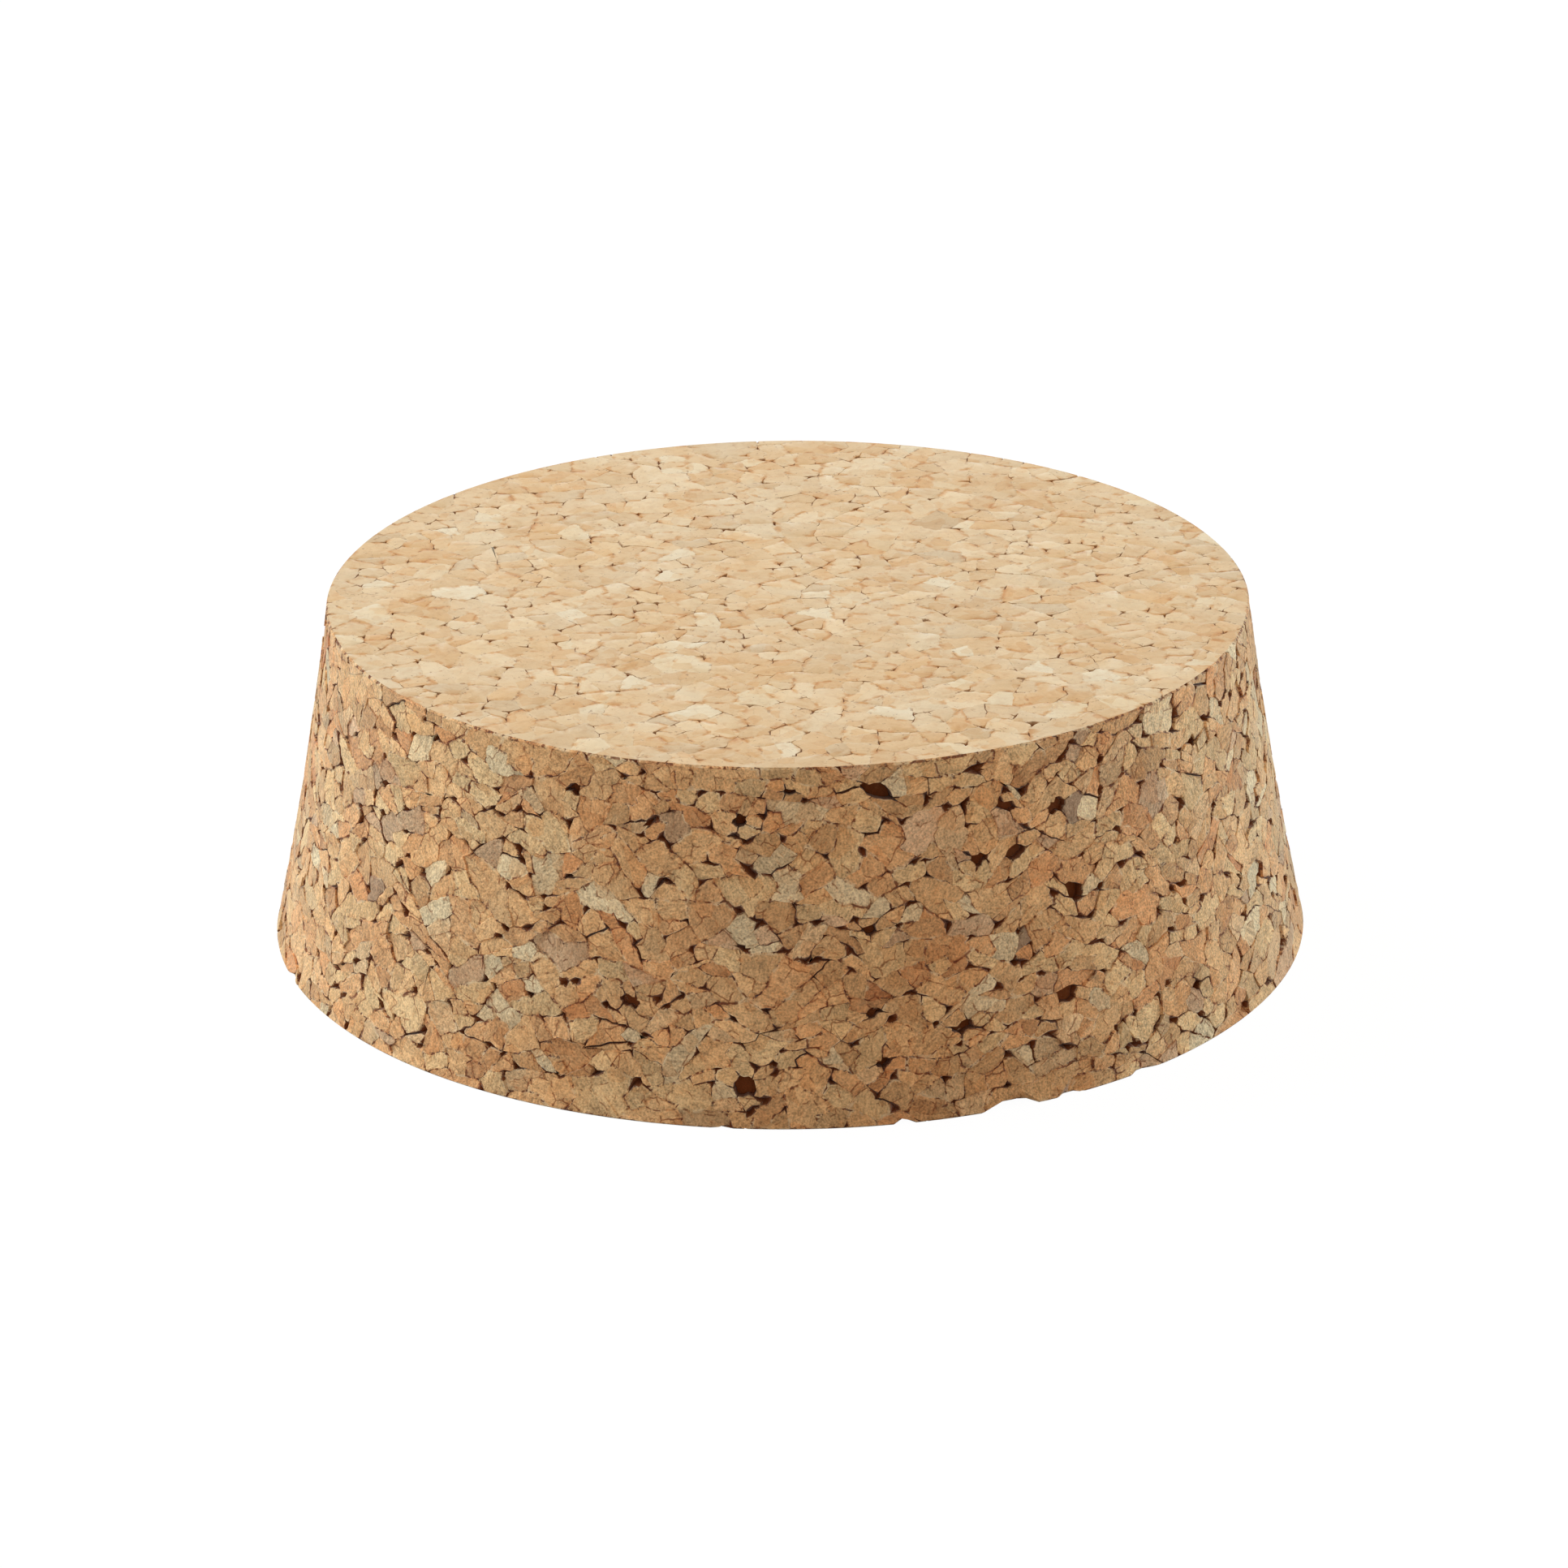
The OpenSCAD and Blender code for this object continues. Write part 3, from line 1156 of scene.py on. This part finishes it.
def cork(name, look):
    """Pressed cork: each granule's own colour, mottled, grained and stained; darker down in the gaps,
    partly the cork's dark joints and inside, partly painted shade; and along some granule edges painted
    shade and a painted highlight
    """
    material, shader, base = new_material(name, {
        "Roughness": 0.8, "Specular IOR Level": 0.35, "Sheen Weight": 0.4, "Sheen Roughness": 0.35})
    here = base.node("ShaderNodeTexCoord", output="Object")
    tint = base.node("ShaderNodeAttribute", {"attribute_name": TINT}, output="Color")
    gap = base.node("ShaderNodeAttribute", {"attribute_name": SHADE}, output="Fac")
    flat = base.node("ShaderNodeUVMap", {"uv_map": FIBRES})
    grain_at = base.node("ShaderNodeMapping", None,
                         {"Vector": flat, "Scale": (1.0, 1 / GRAIN_STRETCH, 1.0)})

    mottle = here.noise(0.5 * MM, 3.0, 0.6)
    blotch = here.noise(1.8 * MM, 2.0, 0.5)
    grain = grain_at.noise(0.18, 4.0, 0.65)
    fine = here.noise(0.12 * MM, 2.0, 0.6)
    patch = flat.noise(look["patch_wide"], 3.0, 0.55, 0.5)
    streak = grain_at.noise(0.15, 3.0, 0.65, 0.4)
    inside = 0 - gap + mottle * 0.15
    line = 1 - inside.ramp(0.0, look["line_wide"])
    # An orange band inside some granule edges: partly their own colour, partly painted shade
    fringe_and_shade = 1 - inside.ramp(0.0, look["fringe_and_shade_wide"])
    # A pale band just inside some granule edges: a painted highlight
    edge_highlight = 1 - inside.ramp(0.0, look["edge_highlight_wide"])
    where = here.noise(0.9 * MM, 2.0, 0.5)
    broken = here.noise(0.6 * MM, 2.0, 0.6)
    shard_at = flat.warped(0.5, 0.35)
    shard = shard_at.shards(look["shard_wide"], "F1", "Color")
    crack = 1 - shard_at.shards(look["shard_wide"], "DISTANCE_TO_EDGE", "Distance").ramp(0.015, 0.05)
    crumb = here.noise(0.4 * MM, 3.0, 0.65, 0.8)
    # Small dark bites along granule edges in the gap colour: painted shade of tiny voids, also sunk in the
    # bump
    bite_shade = (gap * 0.9 + crumb * 1.3).ramp(0.11, 0.17) * look["bite_shade"]

    tone = 1 + (shard.channel("Red") - 0.5) * look["shard"]
    for part, value in (("mottle", mottle), ("blotch", blotch), ("grain", grain), ("fine", fine)):
        tone = tone + value * look[part]
    layers = [
        ("MULTIPLY", "drift", here.noise(5 * MM, 2.0, 0.5).ramp(-0.15, 0.15)),
        ("MULTIPLY", "patch", patch.ramp(-0.02, 0.22)),
        ("MIX", "pale", (0 - patch).ramp(0.02, 0.24)),
        ("MULTIPLY", "fleck", shard.channel("Green").ramp(0.82, 0.86)),
        ("MULTIPLY", "crack", crack * where.ramp(0.0, 0.1)),
        # Painted highlight along some granule edges
        ("MIX", "edge_highlight", edge_highlight * (0 - where).ramp(0.02, 0.12)),
        # Orange band along some granule edges: partly their colour, partly painted shade
        ("MULTIPLY", "fringe_and_shade", fringe_and_shade * where.ramp(0.02, 0.13)),
        ("MULTIPLY", "line", line * broken.ramp(0.05, 0.11)),
        ("MULTIPLY", "streak", streak.ramp(0.06, 0.24)),
        ("MIX", "rust", flat.noise(0.9, 3.0, 0.6, 0.6).ramp(0.1, 0.24)),
        ("MULTIPLY", "stain", here.noise(1.6 * MM, 4.0, 0.65, 0.5).ramp(0.06, 0.26)),
        ("MULTIPLY", "speck", here.noise(0.3 * MM, 2.0, 0.5, 1.0).ramp(0.16, 0.24)),
    ]
    colour = tint.mixed("MULTIPLY", 1.0, tone)
    for blend, layer, share in layers:
        colour = colour.mixed(blend, share * look[layer], plain(look[layer + "_tint"]))
    # The gap colour mixed in at the bites and down in the gaps: the cork's dark joints and inside, and
    # painted shade in voids, slits and pits
    for share in (bite_shade, (gap + crumb * 0.5).ramp(0.05, 0.8) * gap.ramp(0.0, 0.1)):
        colour = colour.mixed("MIX", share, plain(look["gap"]))

    height = mottle * 0.8 + grain * 0.35 + fine * 0.25 - bite_shade * 0.8
    bump = base.node("ShaderNodeBump", None, {"Height": height, "Distance": look["bump"] * MM},
                     output="Normal")
    base.tree.links.new(colour.socket, shader.inputs["Base Color"])
    base.tree.links.new(bump.socket, shader.inputs["Normal"])
    return material


def pale_floor():
    """A plain pale floor that keeps the stopper's shadow"""
    bpy.ops.mesh.primitive_plane_add(size=8.0)
    floor = bpy.context.object
    floor.name = "floor"
    material, shader, base = new_material("pale_floor", {
        "Base Color": (0.62, 0.60, 0.58, 1), "Roughness": 1.0, "Specular IOR Level": 0.0})
    dull = Shade(base.tree, shader.outputs[0])
    glow = base.node("ShaderNodeEmission", None, {"Color": (1, 1, 1, 1), "Strength": 1.06})
    seen = base.node("ShaderNodeLightPath", output="Is Camera Ray")
    both = base.node("ShaderNodeMixShader", None, {0: seen * FLOOR_GLOW, 1: dull, 2: glow})
    base.tree.links.new(both.socket, base.tree.nodes["Material Output"].inputs["Surface"])
    floor.data.materials.append(material)


def soft_light(name, place, power, colour):
    """A round soft light that faces the stopper"""
    lamp = bpy.data.lights.new(name, "AREA")
    lamp.shape = "DISK"
    lamp.size = LIGHT_WIDE
    lamp.energy = power
    lamp.color = colour
    holder = put(name, lamp)
    holder.location = place
    holder.rotation_euler = (Vector(LIT) - Vector(place)).to_track_quat("-Z", "Y").to_euler()


def light_studio():
    """Warm light from all round, and three soft lights"""
    world = bpy.data.worlds.new("studio")
    scene.world = world
    world.use_nodes = True
    background = world.node_tree.nodes["Background"]
    background.inputs["Color"].default_value = (1.0, 0.86, 0.72, 1)
    background.inputs["Strength"].default_value = 0.478
    soft_light("overhead", (-0.4, 0.22, 0.46), 2.14, (0.98, 0.98, 0.98))
    soft_light("left_side", (-0.58, 0.1, 0.13), 2.05, (0.67, 0.92, 1.0))
    soft_light("right_side", (0.55, 0.25, 0.06), 4.0, (0.74, 0.92, 0.98))


def set_camera():
    """The camera in front of the stopper, looking down on it a little"""
    back = Vector((0, -math.cos(CAMERA_UP), math.sin(CAMERA_UP)))
    data = bpy.data.cameras.new("camera")
    data.lens = LENS
    data.sensor_width = 36.0
    camera = put("camera", data)
    camera.location = Vector(AIM) * MM + back * CAMERA_AWAY * MM
    look = (-back).to_track_quat("-Z", "Y").to_matrix().to_4x4()
    camera.rotation_euler = (look @ Matrix.Rotation(CAMERA_ROLL, 4, "Z")).to_euler()
    scene.camera = camera


piece = make_stopper()
piece.data.materials.append(cork("ground_cork", GROUND))
piece.data.materials.append(cork("sliced_cork", SLICED))
bpy.ops.object.select_all(action="DESELECT")
piece.select_set(True)
bpy.context.view_layer.objects.active = piece
bpy.ops.object.shade_smooth_by_angle(angle=SMOOTH)
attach(piece, "root")
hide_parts("stopper")

pale_floor()
light_studio()
set_camera()
scene.view_settings.view_transform = "Standard"
